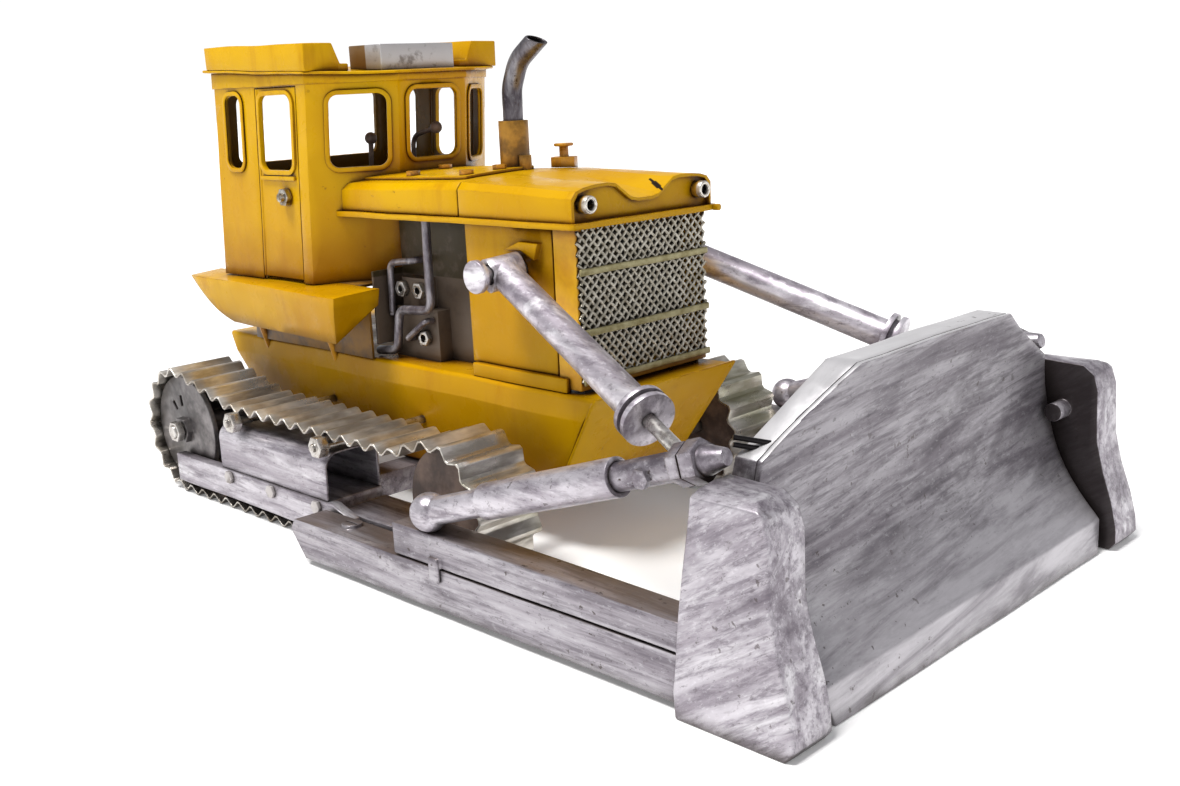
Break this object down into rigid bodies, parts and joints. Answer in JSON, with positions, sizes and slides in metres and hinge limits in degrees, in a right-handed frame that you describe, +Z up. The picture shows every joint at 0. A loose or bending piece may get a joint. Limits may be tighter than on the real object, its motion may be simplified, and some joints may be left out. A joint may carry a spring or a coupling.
{
  "type": "toy bulldozer",
  "caption": "Tinplate toy bulldozer with a cab, hood, corrugated track belts and a blade that lifts on push arms and side cylinders.",
  "frame": {"origin": "middle of the whole vehicle's footprint, on the ground", "axes": "+X towards the blade, +Y to the vehicle's left, +Z up"},
  "size_m": [0.3942, 0.222, 0.2016],
  "materials": {
    "yellow_paint": "hand-brushed mustard enamel over sheet metal, grimy in the recesses",
    "silver_paint": "brushed-on silver paint with dark streaks",
    "belt_metal": "tarnished corrugated strip with warm stains",
    "dark_metal": "dark grey oily metal",
    "brown_metal": "amber-brown stained metal",
    "mesh_metal": "beige-silver woven mesh",
    "bright_steel": "plain bright fasteners, lightly stained"
  },
  "bodies": {
    "chassis": {"hull_tub": "yellow_paint", "hull_front_plate": "yellow_paint", "hood_rear_cover": "yellow_paint", "hood_front_cover": "yellow_paint", "hood_rim": "yellow_paint", "hood_plate": "yellow_paint", "small_bolts": "bright_steel", "radiator_cap": "brown_metal", "exhaust_sleeve": "brown_metal", "exhaust_pipe": "silver_paint", "headlights": "silver_paint", "grille_mesh": "mesh_metal", "grille_bars": "yellow_paint", "radiator_shell": "yellow_paint", "side_panel_right": "yellow_paint", "side_panel_left": "yellow_paint", "side_sills": "yellow_paint", "engine_block": "dark_metal", "coolant_pipes": "dark_metal", "hex_nuts": "bright_steel", "cab_body": "yellow_paint", "cab_window_frames": "yellow_paint", "cab_roof": "yellow_paint", "roof_box_right": "yellow_paint", "roof_box_left": "yellow_paint", "roof_vent": "brown_metal", "cab_floor": "silver_paint", "fender_right": "yellow_paint", "fender_left": "yellow_paint", "fender_pegs": "bright_steel", "track_belt_right": "belt_metal", "track_belt_left": "belt_metal", "track_frames": "silver_paint", "roller_covers": "silver_paint", "carrier_bolts": "bright_steel", "axles": "bright_steel", "lift_pivots": "silver_paint", "arm_pivot_pins": "bright_steel", "door_hinge_pins": "bright_steel"},
    "blade": {"blade_plate": "silver_paint", "blade_frame": "silver_paint", "blade_wing_right": "silver_paint", "blade_wing_left": "silver_paint", "push_arms": "silver_paint", "arm_channels": "silver_paint", "struts": "silver_paint", "strut_rods": "bright_steel"},
    "sprocket_right": {"sprocket_right": "dark_metal"},
    "idler_right": {"idler_right": "brown_metal"},
    "cab_door_right": {"cab_door_right": "yellow_paint"},
    "lift_barrel_right": {"lift_barrel_right": "silver_paint"},
    "lift_rod_right": {"lift_rod_right": "bright_steel"},
    "sprocket_left": {"sprocket_left": "dark_metal"},
    "idler_left": {"idler_left": "brown_metal"},
    "cab_door_left": {"cab_door_left": "yellow_paint"},
    "lift_barrel_left": {"lift_barrel_left": "silver_paint"},
    "lift_rod_left": {"lift_rod_left": "bright_steel"},
    "drive_lever": {"drive_lever": "dark_metal"},
    "blade_lever": {"blade_lever": "dark_metal"}
  },
  "joints": [
    {"name": "blade_lift", "type": "hinge", "parent": "chassis", "child": "blade", "pos_m": [-0.0394, 0, 0.011], "axis": [0, -1, 0], "range_deg": [0, 8]},
    {"name": "lift_barrel_tilt_right", "type": "hinge", "parent": "chassis", "child": "lift_barrel_right", "pos_m": [0.0189, -0.0455, 0.1111], "axis": [-0.3201, -0.939, -0.1255], "range_deg": [0, 9.63]},
    {"name": "lift_rod_slide_right", "type": "slide", "parent": "lift_barrel_right", "child": "lift_rod_right", "axis": [-0.9033, 0.2625, 0.3394], "range_m": [0, 0.0151]},
    {"name": "lift_barrel_tilt_left", "type": "hinge", "parent": "chassis", "child": "lift_barrel_left", "pos_m": [0.0189, 0.0455, 0.1111], "axis": [0.3201, -0.939, 0.1255], "range_deg": [0, 9.63]},
    {"name": "lift_rod_slide_left", "type": "slide", "parent": "lift_barrel_left", "child": "lift_rod_left", "axis": [-0.9033, -0.2625, 0.3394], "range_m": [0, 0.0151]},
    {"name": "sprocket_spin_right", "type": "hinge", "parent": "chassis", "child": "sprocket_right", "pos_m": [-0.1674, -0.072, 0.0297], "axis": [0, 1, 0], "continuous": true},
    {"name": "idler_spin_right", "type": "hinge", "parent": "chassis", "child": "idler_right", "pos_m": [0.0191, -0.072, 0.0275], "axis": [0, 1, 0], "continuous": true},
    {"name": "door_right", "type": "hinge", "parent": "chassis", "child": "cab_door_right", "pos_m": [-0.13683, -0.0494, 0.14], "axis": [-0.0895, 0, -0.996], "range_deg": [0, 80]},
    {"name": "sprocket_spin_left", "type": "hinge", "parent": "chassis", "child": "sprocket_left", "pos_m": [-0.1674, 0.072, 0.0297], "axis": [0, 1, 0], "continuous": true},
    {"name": "idler_spin_left", "type": "hinge", "parent": "chassis", "child": "idler_left", "pos_m": [0.0191, 0.072, 0.0275], "axis": [0, 1, 0], "continuous": true},
    {"name": "door_left", "type": "hinge", "parent": "chassis", "child": "cab_door_left", "pos_m": [-0.13683, 0.0494, 0.14], "axis": [0.0895, 0, 0.996], "range_deg": [0, 80]},
    {"name": "drive_lever_swing", "type": "hinge", "parent": "chassis", "child": "drive_lever", "pos_m": [-0.1014, 0.01, 0.103], "axis": [0, 1, 0], "range_deg": [-8, 8]},
    {"name": "blade_lever_swing", "type": "hinge", "parent": "chassis", "child": "blade_lever", "pos_m": [-0.1044, -0.015, 0.103], "axis": [0, 1, 0], "range_deg": [-8, 8]}
  ],
  "couplings": [
    {"joint": "lift_barrel_tilt_right", "follows": "blade_lift", "ratio": 1.2036},
    {"joint": "lift_rod_slide_right", "follows": "blade_lift", "m_per_rad": 0.108},
    {"joint": "lift_barrel_tilt_left", "follows": "blade_lift", "ratio": 1.2036},
    {"joint": "lift_rod_slide_left", "follows": "blade_lift", "m_per_rad": 0.108}
  ]
}
